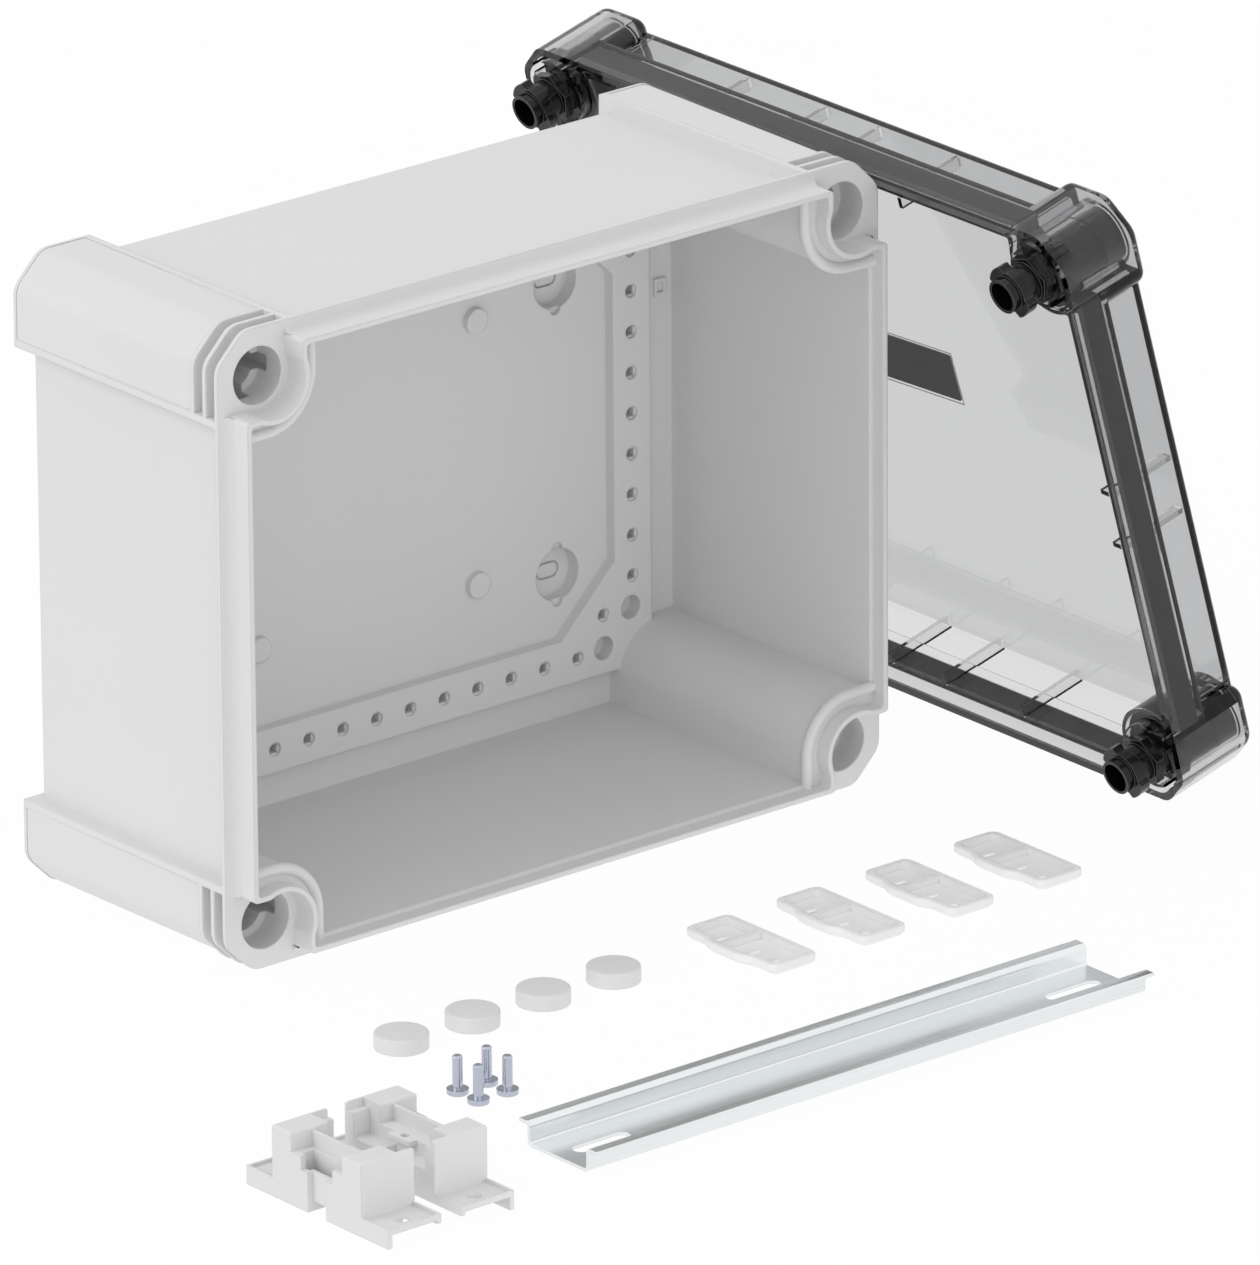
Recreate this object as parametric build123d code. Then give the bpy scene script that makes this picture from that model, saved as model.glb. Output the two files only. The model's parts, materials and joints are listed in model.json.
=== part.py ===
from build123d import *
import os
from math import cos, radians, sin, tan

# Plastic enclosure in two shells, laid out open with its loose fittings.
# Millimetres, +Z up. The base stands on a long side and opens towards -Y.

# Base shell, outer form
base_w = 250.0
base_h = 198.0
base_depth = 95.5
post_size = 28.2
post_chamfer = 9.8
post_round = 7.0
wall_inset = 4.6
wall_t = 2.0
back_t = 3.0
back_step = 4.0
flange_t = 1.6

# Relief slots and lips on the outside of the corner posts
slot_w = 3.9
slot_rib = 1.6
slot_depth = 4.2
slot_count = 2
lip_w = 2.4
lip_proud = 0.8

# Sealing tongue round the opening
tongue_h = 8.8
tongue_inset = 3.9
tongue_t = 1.6
tongue_corner = 24.7
tongue_wrap = 2.2
root_fillet = 2.4
tongue_soft = 1.2

# Corner sockets and the columns that hold them
socket_inset = 14.7
socket_d = 17.8
socket_deep = 10.5
shaft_d = 13.0
fixing_d = 6.2
floor_t = 5.0
column_wall = 7.8
column_front = 3.5
bead_r = 1.7
cam_way_w = 5.0
cam_way_out = 2.6
cam_way_deep = 14.0
cam_way_start = 7.0

# Raised mounting frame on the inner back wall
frame_h = 4.0
frame_inset = 18.0
frame_inner = 32.3
frame_chamfer = 21.0
hole_pitch = 13.0
hole_row_inset = 25.3
pilot_round = 4.4
pilot_square = 2.8
pilot_sink = 0.9
pilot_deep = 5.2
blind_d = 7.5
blind_deep = 5.0
blind_near = 26.2
blind_far = 36.9

# Wall fixing wells, small bosses and the square window in the back wall
well_x = 73.5
well_z = 46.6
well_d = 16.5
well_wall = 2.2
well_floor = 2.0
well_notch = 4.0
knock_l = 9.0
knock_w = 5.4
knock_groove = 0.6
knock_deep = 1.0
boss_pitch = 84.0
boss_d = 8.0
boss_h = 2.0
window_w = 4.4
window_h = 5.4
window_rim = 1.0
window_side = 11.3
window_up = 36.2

# Clear lid, leaning on the right side of the base
lean = 15.45
lean_gap = 0.1
lid_y = 42.9
skirt_h = 12.8
lid_depth = 29.5
lid_inset = 4.6
lid_t = 2.4
lid_edge = 2.2
dome_edge = 3.4
dome_side = 4.4
groove_gap = 0.4
groove_deep = 11.8
lip_t = 1.4
lip_back = 3.0
lid_bore_gap = 0.05
seal_low = 4.6

# Ribs inside the lid
rib_t = 1.6
rib_h = 3.5
rib_low = 0.6
rib_top_gap = 0.6
rib_near = 12.35
rib_far = 48.2
rib_short = 9.2

# Blank plate on the lid face
plate_l = 47.0
plate_w = 16.0
plate_t = 0.4
plate_x = 5.2
plate_up = 103.4
plate_turn = -2.5

# Turn locks and their bushes in the lid corners
bush_d = 16.8
bush_bore = 14.2
bush_flange = 18.6
bush_round = 2.5
bush_inner_r = 10.1
bush_seat_wall = 1.6
bush_flange_t = 3.0
bush_low = 4.0
bush_len = 19.0
bush_slot = 2.2
run_gap = 0.06
lock_reach = 13.6
mouth_d = 11.0
mouth_bore = 9.3
mouth_deep = 12.0
mouth_l = 2.9
ring_d = 13.2
cam_r = 8.3
cam_l = 3.6
cam_w = 8.0
cam_turn = 45.0
neck_d = 12.4
collar_d = 16.6
collar_l = 3.0
collar_gap = 0.3
head_d = 15.6
head_slot_w = 2.4
head_slot_l = 11.0
head_slot_deep = 2.2
shoulder_d = 17.4
shoulder_gap = 0.3

# Round cover plugs
plug_d = 16.2
plug_h = 4.7
plug_wall = 1.3
plug_round = 0.7
plug_pitch = 26.5
plug_x = -119.5
plug_y = -74.0
plug_count = 4

# Screws standing on their heads
screw_d = 3.0
screw_l = 10.2
screw_head_d = 6.5
screw_head_h = 1.7
screw_cross = 3.2
screw_cross_w = 0.8
screw_cross_deep = 1.0
screw_dx = 10.8
screw_dy = 9.4
screw_x = -124.6
screw_y = -117.2

# Wall brackets
bracket_l = 41.4
bracket_w = 17.4
bracket_bulge = 1.9
bracket_bulge_l = 12.8
bracket_bulge_y = 0.4
bracket_sweep = 4.4
bracket_h = 3.2
bracket_floor = 0.7
bracket_rim = 1.9
bracket_round = 3.0
bracket_soft = 0.5
bracket_under = 1.1
bracket_rib_t = 1.6
bracket_rib_y = 4.3
bracket_slot_l = 4.8
bracket_slot_w = 1.9
bracket_slot_x = -1.7
bracket_slot_pitch = 2.9
bracket_slot_gap = 4.0
bracket_low_slot = 7.7
bracket_hole = 3.4
bracket_hole_y = -13.0
bracket_pitch = 34.4
bracket_x = 5.5
bracket_y = -82.2
bracket_count = 4

# Top-hat rail
rail_l = 210.0
rail_w = 35.0
rail_h = 7.5
rail_t = 1.0
rail_channel = 27.0
rail_bend = 0.8
rail_slot_l = 20.0
rail_slot_w = 5.4
rail_slot_end = 16.0
rail_x = -34.7
rail_y = -169.4

# Raised supports for the rail
support_l = 63.6
support_w = 19.2
support_h = 22.0
support_t = 1.9
support_round = 0.8
tower_out = 20.0
tower_l = 8.6
tab_h = 5.8
tab_lip = 0.9
tab_t = 0.9
tab_leg = 1.5
tab_hole = 4.6
step_high = 16.2
step_low = 12.0
step_l = 4.4
gap_l = 8.2
open_w = 5.8
corner_l = 3.9
end_wall = 1.2
shoulder_h = 19.5
foot_lift = 3.0
beam_w = 7.4
beam_t = 1.5
shelf_w = 1.5
shelf_l = 2.8
fin_t = 1.2
fin_h = 20.8
bridge_t = 1.3
lug_l = 10.0
lug_out = 2.7
lug_t = 1.5
lug_hole = 2.6
lug_round = 1.2
support_pitch = 26.4
support_x = -208.5
support_y = -157.9

# Values worked out from the sizes above
socket_r = socket_d / 2
half_w = base_w / 2
inner_inset = wall_inset + wall_t
back_face = base_depth - back_step
back_inner = back_face - back_t
tongue_r = socket_r + tongue_wrap
column_r = socket_r + column_wall
column_edge = socket_inset + column_r
slots_end = flange_t + slot_count * (slot_w + slot_rib) - slot_rib
lid_inner = tongue_inset + tongue_t + groove_gap + lip_t
lid_plate = lid_depth - lid_t
foot_x = half_w + (base_h - post_chamfer) * tan(radians(lean)) + lean_gap / cos(radians(lean))


def prism(outline, front, back):
    """Extrude an outline drawn as X and Z from one Y to another."""
    plane = Plane(origin=(0, back, 0), x_dir=(1, 0, 0), z_dir=(0, -1, 0))
    return extrude(plane * outline, amount=back - front)


def slab(outline, low, high):
    """Extrude an outline drawn in X and Y from one Z to another."""
    return extrude(Pos(0, 0, low) * outline, amount=high - low)


def corners(inset_x, inset_z, width=base_w, height=base_h):
    """Four points set in from the corners of the upright outline."""
    return [
        (sx * (width / 2 - inset_x), inset_z if low else height - inset_z)
        for sx in (-1, 1)
        for low in (True, False)
    ]


def shell_outline(inset=0.0):
    """Outer outline with cut and softened corners, standing on zero height."""
    w = base_w - 2 * inset
    h = base_h - 2 * inset
    cut = post_chamfer - inset * (2 - 2 ** 0.5)
    rect = Pos(0, base_h / 2) * Rectangle(w, h)
    cut_rect = chamfer(rect.vertices(), cut)
    return fillet(cut_rect.vertices(), post_round)


def inner_rect(inset):
    return Pos(0, base_h / 2) * Rectangle(base_w - 2 * inset, base_h - 2 * inset)


def corner_squares(size, start=0.0):
    """Squares of the given size in the four corners of the outline."""
    middle = start + size / 2
    squares = [Pos(x, z) * Rectangle(size, size) for x, z in corners(middle, middle)]
    return Sketch() + squares


def corner_rounds(radius):
    rounds = [Pos(x, z) * Circle(radius) for x, z in corners(socket_inset, socket_inset)]
    return Sketch() + rounds


def seal_path(grow):
    """Closed outline of the tongue, grown or shrunk from its outer face."""
    outline = inner_rect(tongue_inset - grow)
    outline -= corner_arms(tongue_corner - grow)
    outline -= corner_rounds(tongue_r - grow)
    return fillet(outline.vertices(), tongue_soft)


def corner_arms(reach):
    """Bars from each socket axis to the two rims beside it, reach long."""
    bars = [Pos(sx * half_w, z) * Rectangle(2 * reach, 2 * socket_inset) for sx in (-1, 1) for z in (0, base_h)]
    bars += [Pos(sx * half_w, z) * Rectangle(2 * socket_inset, 2 * reach) for sx in (-1, 1) for z in (0, base_h)]
    return Sketch() + bars


def column_outline():
    """Interior of the base less the columns round the corner sockets."""
    return inner_rect(inner_inset) - corner_arms(column_edge) - corner_rounds(column_r)


def base_outside():
    """Walls, full depth corner posts, front flange and sealing tongue."""
    posts = shell_outline() & corner_squares(post_size)
    body = prism(inner_rect(wall_inset) & shell_outline(slot_depth), 0, back_face)
    body += prism(posts, 0, base_depth)
    body += prism(shell_outline(), 0, flange_t)
    body += prism(seal_path(0), -tongue_h, flange_t)
    return body + tongue_foot()


def tongue_foot():
    """Soft hollow strips where the tongue grows out of the flange."""
    corner = Rectangle(root_fillet, root_fillet, align=(Align.MAX, Align.MIN))
    profile = corner - Pos(-root_fillet, root_fillet) * Circle(root_fillet)
    strips = []
    for i in range(4):
        across = (base_h if i % 2 else base_w) / 2
        along = (base_w if i % 2 else base_h) - 2 * tongue_corner
        start = Plane(origin=(-across + tongue_inset, 0, -along / 2), x_dir=(1, 0, 0), z_dir=(0, 0, 1))
        strip = extrude(start * profile, amount=along)
        strips.append(Pos(0, 0, base_h / 2) * Rot(0, 90 * i, 0) * mirror(strip, Plane.XZ))
    return strips


def post_slots():
    """Two relief slots that wrap round each post behind the flange."""
    ring = (shell_outline() - shell_outline(slot_depth)) & corner_squares(post_size - lip_w)
    cuts = []
    for i in range(slot_count):
        start = flange_t + i * (slot_w + slot_rib)
        cuts.append(prism(ring, start, start + slot_w))
    return cuts


def post_panels():
    """Drafted panels that leave a lip along the edges of each post."""
    start = slots_end + slot_rib
    end = base_depth - lip_w / 2
    outer = prism(shell_outline(-1) & corner_squares(post_size - lip_w + 1, -1), start, end)
    levels = [(start, lip_proud), (end, lip_proud / 4)]
    frames = [Plane(origin=(0, y, 0), x_dir=(1, 0, 0), z_dir=(0, -1, 0)) for y, _ in levels]
    core = loft([plane * shell_outline(inset) for plane, (_, inset) in zip(frames, levels)])
    return outer - core


def base_cavity():
    """Space inside the base, narrower in the tongue than behind it."""
    front = prism(seal_path(-tongue_t), -tongue_h - 1, back_inner)
    mouth = prism(column_outline(), -column_front, back_inner)
    throat = prism(seal_path(-tongue_t), -tongue_h - 1, -column_front)
    return [mouth, throat & front]


def column_beads():
    """Rounded bead round the front end of each column."""
    parts = []
    for sx in (-1, 1):
        for low in (True, False):
            sz = 1 if low else -1
            cx = sx * (half_w - socket_inset)
            cz = socket_inset if low else base_h - socket_inset
            far = socket_inset - wall_inset
            start = (cx - sx * column_r, -column_front, cz - sz * far)
            bend = (cx - sx * column_r, -column_front, cz)
            half = 2 ** -0.5 * column_r
            middle = (cx - sx * half, -column_front, cz + sz * half)
            turn = (cx, -column_front, cz + sz * column_r)
            end = (cx + sx * far, -column_front, cz + sz * column_r)
            path = Line(start, bend) + ThreePointArc(bend, middle, turn) + Line(turn, end)
            section = Plane(origin=start, z_dir=(0, 0, sz)) * Circle(bead_r)
            parts.append(sweep(section, path=path))
    return parts


def socket_cuts():
    """Stepped corner sockets with a way for the cams of the turn locks."""
    cuts = []
    for x, z in corners(socket_inset, socket_inset):
        sx = 1 if x > 0 else -1
        sz = 1 if z > base_h / 2 else -1
        at = Pos(x, z)
        cuts.append(prism(at * Circle(socket_r), -1, socket_deep))
        cuts.append(prism(at * Circle(shaft_d / 2), 0, base_depth - floor_t))
        cuts.append(prism(at * Circle(fixing_d / 2), 0, base_depth + 1))
        reach = socket_r + cam_way_out
        way_z = Pos(x, z - sz * reach / 2) * Rectangle(cam_way_w, reach)
        way_x = Pos(x - sx * reach / 2, z) * Rectangle(reach, cam_way_w)
        end = cam_way_start + cam_way_deep
        cuts.append(prism(way_z, cam_way_start, end))
        cuts.append(prism(way_x, cam_way_start, end))
    return cuts


def frame_ring():
    """Raised frame on the back wall that carries the pilot holes."""
    hole = inner_rect(frame_inner)
    hole = chamfer(hole.vertices(), frame_chamfer)
    return prism(inner_rect(frame_inset) - hole, back_inner - frame_h, back_inner + 0.5)


def pilot_points():
    """Centres of the pilot holes along the frame and across its corners."""
    row = [(i * hole_pitch, z) for i in range(-6, 7) for z in (hole_row_inset, base_h - hole_row_inset)]
    side = half_w - hole_row_inset
    column = [(sx * side, base_h / 2 + i * hole_pitch) for i in range(-4, 5) for sx in (-1, 1)]
    return row + column + corners(blind_far, blind_far)


def pilot_cuts():
    """Round countersink with a square pilot below, and plain blind holes."""
    face = back_inner - frame_h
    rounds = [Pos(x, z) * Circle(pilot_round / 2) for x, z in pilot_points()]
    squares = [Pos(x, z) * Rectangle(pilot_square, pilot_square) for x, z in pilot_points()]
    blinds = corners(blind_near, blind_far) + corners(blind_far, blind_near)
    blind = [Pos(x, z) * Circle(blind_d / 2) for x, z in blinds]
    return [
        prism(Sketch() + rounds, face - 1, face + pilot_sink),
        prism(Sketch() + squares, face - 1, face + pilot_deep),
        prism(Sketch() + blind, face - 1, face + blind_deep),
    ]


def well_points():
    return [(sx * well_x, base_h / 2 + sz * well_z) for sx in (-1, 1) for sz in (-1, 1)]


def well_bosses():
    """Cups on the back that reach the plane of the post ends."""
    cups = [Pos(x, z) * Circle(well_d / 2 + well_wall) for x, z in well_points()]
    return prism(Sketch() + cups, back_inner, base_depth)


def well_cuts():
    """Round wells with side notches and an oblong knockout line."""
    floor = base_depth - well_floor
    wells = Sketch()
    notches = Sketch()
    lines = Sketch()
    for x, z in well_points():
        wells += Pos(x, z) * Circle(well_d / 2)
        for sz in (-1, 1):
            notches += Pos(x, z + sz * well_d / 2) * Circle(well_notch / 2)
        outer = SlotOverall(knock_l, knock_w)
        inner = SlotOverall(knock_l - 2 * knock_groove, knock_w - 2 * knock_groove)
        lines += Pos(x, z) * (outer - inner)
    return [
        prism(wells, back_inner - 1, floor),
        prism(notches, back_inner - 1, back_inner + back_t / 2),
        prism(lines, floor - 1, floor + knock_deep),
    ]


def back_bosses():
    """Four low round bosses in the middle of the back wall."""
    half = boss_pitch / 2
    rounds = [
        Pos(sx * half, base_h / 2 + sz * half) * Circle(boss_d / 2)
        for sx in (-1, 1)
        for sz in (-1, 1)
    ]
    return prism(Sketch() + rounds, back_inner - boss_h, back_inner + 0.5)


def clip_window():
    """Small framed window beside the mounting frame."""
    at = Pos(half_w - window_side, base_h / 2 + window_up)
    rim = Rectangle(window_w, window_h) - Rectangle(window_w - 2 * window_rim, window_h - 2 * window_rim)
    return prism(at * rim, back_inner - window_rim, back_inner + 0.5)


def make_base():
    body = base_outside()
    body += well_bosses()
    body -= base_cavity()
    body += column_beads()
    body += frame_ring()
    body += back_bosses()
    body += clip_window()
    body -= post_slots()
    body -= [post_panels()]
    body -= socket_cuts()
    body -= pilot_cuts()
    body -= well_cuts()
    return body


def lid_frame():
    """Plane of the lid rim: X along the floor, Y up the slope, Z outwards."""
    tilt = radians(lean)
    return Plane(origin=(foot_x, lid_y, 0), x_dir=(0, 1, 0), z_dir=(cos(tilt), 0, sin(tilt)))


def lid_outside():
    """Skirt and corner domes at full size, walls set in above the skirt."""
    soft_squares = Sketch() + [
        Pos(x, y) * RectangleRounded(post_size, post_size, dome_side)
        for x, y in corners(post_size / 2, post_size / 2)
    ]
    domes = slab(shell_outline() & soft_squares, 0, lid_depth)
    box = slab(inner_rect(lid_inset) & shell_outline(lid_t), 0, lid_depth)
    body = slab(shell_outline(), 0, skirt_h)
    for raised, soft in ((box, lid_edge), (domes, dome_edge)):
        body += fillet(raised.edges().group_by(Axis.Z)[-1], soft)
    return body


def lid_column_outline():
    """Inside of the lid less the columns that carry the bushes."""
    return seal_path(tongue_inset - lid_inner)


def lid_hollows():
    """Main space, wider above the skirt, and the seal groove."""
    main = slab(lid_column_outline(), -1, lid_plate)
    room = inner_rect(lid_inset + lid_t) - corner_squares(post_size + lid_t + half_w, -half_w)
    upper = slab(room, skirt_h + lid_t, lid_plate)
    ring = seal_path(groove_gap) - seal_path(-tongue_t - groove_gap)
    groove = slab(ring, -1, groove_deep)
    lip = seal_path(-tongue_t - groove_gap) - lid_column_outline()
    return [main, upper, groove, slab(lip, -1, lip_back)]


def flange_outline(inward_x, inward_y, grow=0.0):
    """Square flange of a bush, rounded off where the seal groove passes it."""
    size = bush_flange + 2 * grow
    outer = Pos(-inward_x * size, 0) * Rectangle(2 * size, 4 * size)
    outer += Pos(0, -inward_y * size) * Rectangle(4 * size, 2 * size)
    return RectangleRounded(size, size, bush_round) & (outer + Circle(bush_inner_r + grow))


def inward(x, y):
    """Signs that point from a lid corner to the middle of the lid."""
    return (-1 if x > 0 else 1, -1 if y > base_h / 2 else 1)


def lid_bores():
    """Seats of the bushes and the holes for the lock heads."""
    cuts = []
    for x, y in corners(socket_inset, socket_inset):
        at = Pos(x, y)
        seat = flange_outline(*inward(x, y), grow=lid_bore_gap)
        cuts.append(slab(at * Circle(bush_d / 2 + lid_bore_gap), -1, bush_len))
        cuts.append(slab(at * seat, -1, bush_low + bush_flange_t))
        cuts.append(slab(at * Circle(shoulder_d / 2 + shoulder_gap), bush_len - 1, lid_plate))
        cuts.append(slab(at * Circle(head_d / 2 + run_gap), lid_plate - 1, lid_depth + 1))
    return cuts


def corner_pockets():
    """Open pockets that keep the corner domes thin round the bush seats."""
    reach = tongue_corner - groove_gap - lip_t
    field = shell_outline(lid_t) & corner_squares(reach)
    seats = corner_rounds(shoulder_d / 2 + shoulder_gap + bush_seat_wall)
    return slab(field - seats, -1, lid_plate)


def lid_ribs():
    """Low ribs that stiffen the four inner walls."""
    top = lid_plate - rib_top_gap
    deep = lid_inner - lid_inset + rib_h - 1
    ribs = []
    for x in (-rib_far, -rib_near, rib_near, rib_far):
        for y in (lid_inset + 1 + deep / 2, base_h - lid_inset - 1 - deep / 2):
            ribs.append(slab(Pos(x, y) * Rectangle(rib_t, deep), lip_back - rib_low, top))
    for dy in (-rib_short, rib_short):
        for sx in (-1, 1):
            x = sx * (half_w - lid_inset - 1 - deep / 2)
            ribs.append(slab(Pos(x, base_h / 2 + dy) * Rectangle(deep, rib_t), lip_back - rib_low, top))
    return ribs


def make_lid():
    body = lid_outside()
    hollows = lid_hollows()
    body -= hollows[:2]
    body += lid_ribs()
    body -= hollows[2:]
    body -= [corner_pockets()]
    body -= lid_bores()
    return lid_frame().location * body


def make_seal():
    """Foam seal that fills the inner end of the groove."""
    ring = seal_path(groove_gap) - seal_path(-tongue_t - groove_gap)
    return lid_frame().location * slab(ring, seal_low, groove_deep)


def make_plate():
    """Blank rectangular plate on the outer face of the lid."""
    outline = Pos(plate_x, plate_up) * Rot(0, 0, plate_turn) * RectangleRounded(plate_l, plate_w, 0.8)
    return lid_frame().location * slab(outline, lid_depth, lid_depth + plate_t)


def make_bush(inward_x, inward_y):
    """Flanged bush in a lid corner, drawn on its own axis."""
    top = bush_low + bush_flange_t
    body = slab(flange_outline(inward_x, inward_y), bush_low, top)
    body += slab(Circle(bush_d / 2), bush_low, bush_len)
    body -= slab(Circle(bush_bore / 2), bush_low - 1, bush_len + 1)
    side = bush_flange / 2
    slot = Rectangle(bush_slot / 2, 2 * bush_slot)
    spots = [(sx * (side - bush_slot), sy * side) for sx in (-1, 1) for sy in (-1, 1)]
    return body - [slab(Pos(x, y) * slot, bush_low - 1, top) for x, y in spots]


def cam_outline():
    """Round ring with two opposite cams."""
    bar = Rot(0, 0, cam_turn) * Rectangle(2 * cam_r, cam_w)
    return Circle(ring_d / 2) + (Circle(cam_r) & bar)


def make_lock():
    """Turn lock: hollow mouth, cam ring, neck, collar, barrel and slotted head."""
    barrel_r = bush_bore / 2 - run_gap
    cam_low = -lock_reach + mouth_l
    body = slab(Circle(mouth_d / 2), -lock_reach, cam_low)
    body += slab(cam_outline(), cam_low, cam_low + cam_l)
    body += slab(Circle(neck_d / 2), cam_low + cam_l, -collar_gap)
    body += slab(RegularPolygon(collar_d / 2, 6, rotation=cam_turn), -collar_gap - collar_l, -collar_gap)
    body += slab(Circle(barrel_r), -collar_gap, bush_len + shoulder_gap)
    body += slab(Circle(shoulder_d / 2), bush_len + shoulder_gap, lid_plate - shoulder_gap)
    body += slab(Circle(head_d / 2), lid_plate - shoulder_gap, lid_depth)
    body -= slab(Circle(mouth_bore / 2), -lock_reach - 1, -lock_reach + mouth_deep)
    body -= slab(Rectangle(head_slot_l, head_slot_w), lid_depth - head_slot_deep, lid_depth + 1)
    return body


def make_plug():
    """Round cover plug, hollow below."""
    body = Cylinder(plug_d / 2, plug_h, align=(Align.CENTER, Align.CENTER, Align.MIN))
    top = body.faces().sort_by(Axis.Z)[-1]
    body = fillet(top.edges(), plug_round)
    hollow = Cylinder(
        plug_d / 2 - plug_wall, plug_h - plug_wall, align=(Align.CENTER, Align.CENTER, Align.MIN)
    )
    return body - hollow


def make_screw():
    """Pan head screw standing on its head, cross recess underneath."""
    body = slab(Circle(screw_head_d / 2), 0, screw_head_h)
    low = body.edges().sort_by(Axis.Z)[0]
    body = fillet(low, 0.5)
    body += slab(Circle(screw_d / 2), 0, screw_head_h + screw_l)
    tip = body.edges().sort_by(Axis.Z)[-1]
    body = chamfer(tip, 0.4)
    cross = Rectangle(screw_cross, screw_cross_w) + Rectangle(screw_cross_w, screw_cross)
    return body - slab(cross, -1, screw_cross_deep)


def bracket_outline(inset):
    """Plan of the bracket with its gentle bulge on one long side."""
    side = bracket_w / 2 - inset
    end = bracket_l / 2 - inset
    out = side + bracket_bulge
    top = bracket_bulge_y + bracket_bulge_l / 2
    low = bracket_bulge_y - bracket_bulge_l / 2
    pts = [(side, -end), (side, end), (-side, end), (-side, top + bracket_sweep), (-out, top)]
    pts += [(-out, low), (-side, low - bracket_sweep), (-side, -end)]
    outline = make_face(Polyline(*pts, close=True))
    return fillet(outline.vertices(), bracket_round - inset / 2)


def make_bracket():
    """Shallow tray with a cross rib, short slots and a screw hole."""
    body = slab(bracket_outline(0), 0, bracket_h)
    body = fillet(body.edges().group_by(Axis.Z)[-1], bracket_soft)
    body = chamfer(body.edges().group_by(Axis.Z)[0], bracket_under)
    body -= slab(bracket_outline(bracket_rim), bracket_floor, bracket_h + 1)
    rib = Pos(0, bracket_rib_y) * Rectangle(2 * bracket_w, bracket_rib_t)
    body += slab(rib & bracket_outline(bracket_rim / 2), bracket_floor / 2, bracket_h - bracket_soft)
    slot = SlotOverall(bracket_slot_l, bracket_slot_w)
    upper = bracket_rib_y + bracket_slot_gap
    heights = (upper, upper + bracket_slot_pitch, bracket_rib_y - bracket_low_slot)
    cuts = [Pos(bracket_slot_x, y) * slot for y in heights]
    cuts.append(Pos(bracket_slot_x, bracket_hole_y) * Circle(bracket_hole / 2))
    return body - [slab(cut, -1, bracket_floor + 1) for cut in cuts]


def make_rail():
    """Folded top-hat rail with an oblong slot near each end."""
    out = (rail_w - rail_t) / 2
    web = rail_channel / 2
    pts = [(-out, rail_h - rail_t / 2), (-web + rail_t / 2, rail_h - rail_t / 2)]
    pts += [(-web + rail_t / 2, rail_t / 2), (web - rail_t / 2, rail_t / 2)]
    pts += [(web - rail_t / 2, rail_h - rail_t / 2), (out, rail_h - rail_t / 2)]
    line = FilletPolyline(*pts, radius=rail_bend + rail_t / 2)
    section = offset(line, amount=rail_t / 2, kind=Kind.INTERSECTION, side=Side.BOTH)
    section = make_face(section.edges())
    plane = Plane(origin=(-rail_l / 2, 0, 0), x_dir=(0, 1, 0), z_dir=(1, 0, 0))
    body = extrude(plane * section, amount=rail_l)
    reach = rail_l / 2 - rail_slot_end
    cuts = [slab(Pos(sx * reach, 0) * SlotOverall(rail_slot_l, rail_slot_w), -1, rail_t + 1) for sx in (-1, 1)]
    return body - cuts


def support_profile():
    """Side view of one support: end tabs, towers and two steps to the gap."""
    half = support_l / 2
    inner = tower_out - tower_l
    run = [(gap_l / 2, 0), (half, 0), (half, tab_h), (tower_out, tab_h), (tower_out, support_h)]
    run += [(inner, support_h), (inner, step_high), (inner - step_l, step_high)]
    run += [(inner - step_l, step_low), (gap_l / 2, step_low)]
    near = make_face(Polyline(*run, close=True))
    return near + mirror(near, Plane.YZ)


def beam_edges():
    """Both faces of the beam between the towers, on the open and the closed side."""
    open_face = open_w - support_w / 2
    return open_face, open_face + beam_w


def support_hollows():
    """Hollow towers, and the deep pocket between the closed side wall and the beam."""
    cuts = []
    inner = tower_out - tower_l
    mid = tower_out - tower_l / 2
    room = Rectangle(support_w - 2 * support_t, tower_l - 2 * support_t)
    for side in (-1, 1):
        cuts.append(slab(Pos(0, side * mid) * room, -1, step_low - support_t))
    beam_face = beam_edges()[1]
    wall_face = support_w / 2 - support_t
    pocket = Rectangle(wall_face - beam_face, 2 * (inner - shelf_l))
    cuts.append(slab(Pos((wall_face + beam_face) / 2, 0) * pocket, foot_lift, support_h))
    return cuts


def open_side_cuts():
    """The open side: low between its corner blocks, with a lifted foot."""
    x = (open_w - support_w) / 2
    low = slab(Pos(x, 0) * Rectangle(open_w, 2 * (tower_out - corner_l)), step_low, support_h + 1)
    shoulder = slab(Pos(x, 0) * Rectangle(open_w, 2 * (tower_out - end_wall)), shoulder_h, support_h + 1)
    foot = slab(Pos(x, 0) * Rectangle(open_w, support_l), -1, foot_lift)
    return [low, shoulder, foot]


def support_beam():
    """Beam between the towers with its tall fin."""
    left, right = beam_edges()
    run = 2 * (tower_out - tower_l)
    mid = (left + right) / 2
    beam = slab(Pos(mid, 0) * Rectangle(beam_w, run), foot_lift, step_high)
    beam -= slab(Pos(mid, 0) * Rectangle(beam_w - 2 * beam_t, run - 2 * beam_t), -1, step_high - beam_t)
    fin_x = right - shelf_w - fin_t / 2
    return beam + slab(Pos(fin_x, 0) * Rectangle(fin_t, run), step_high - beam_t, fin_h)


def screw_lug():
    """Rounded lug for a screw, which stands out of the beam over the open side."""
    left = beam_edges()[0]
    into = 2 * lug_round
    lug = Pos(left + (into - lug_out) / 2, 0) * RectangleRounded(lug_out + into, lug_l, lug_round)
    return slab(lug, step_high - lug_t, step_high)


def gap_bridge():
    """Thin inner wall that closes the gap of the closed side."""
    face = support_w / 2 - support_t
    wall = Pos(face - bridge_t / 2, 0) * Rectangle(bridge_t, gap_l + 2 * bridge_t)
    return slab(wall, foot_lift, step_low)


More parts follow.
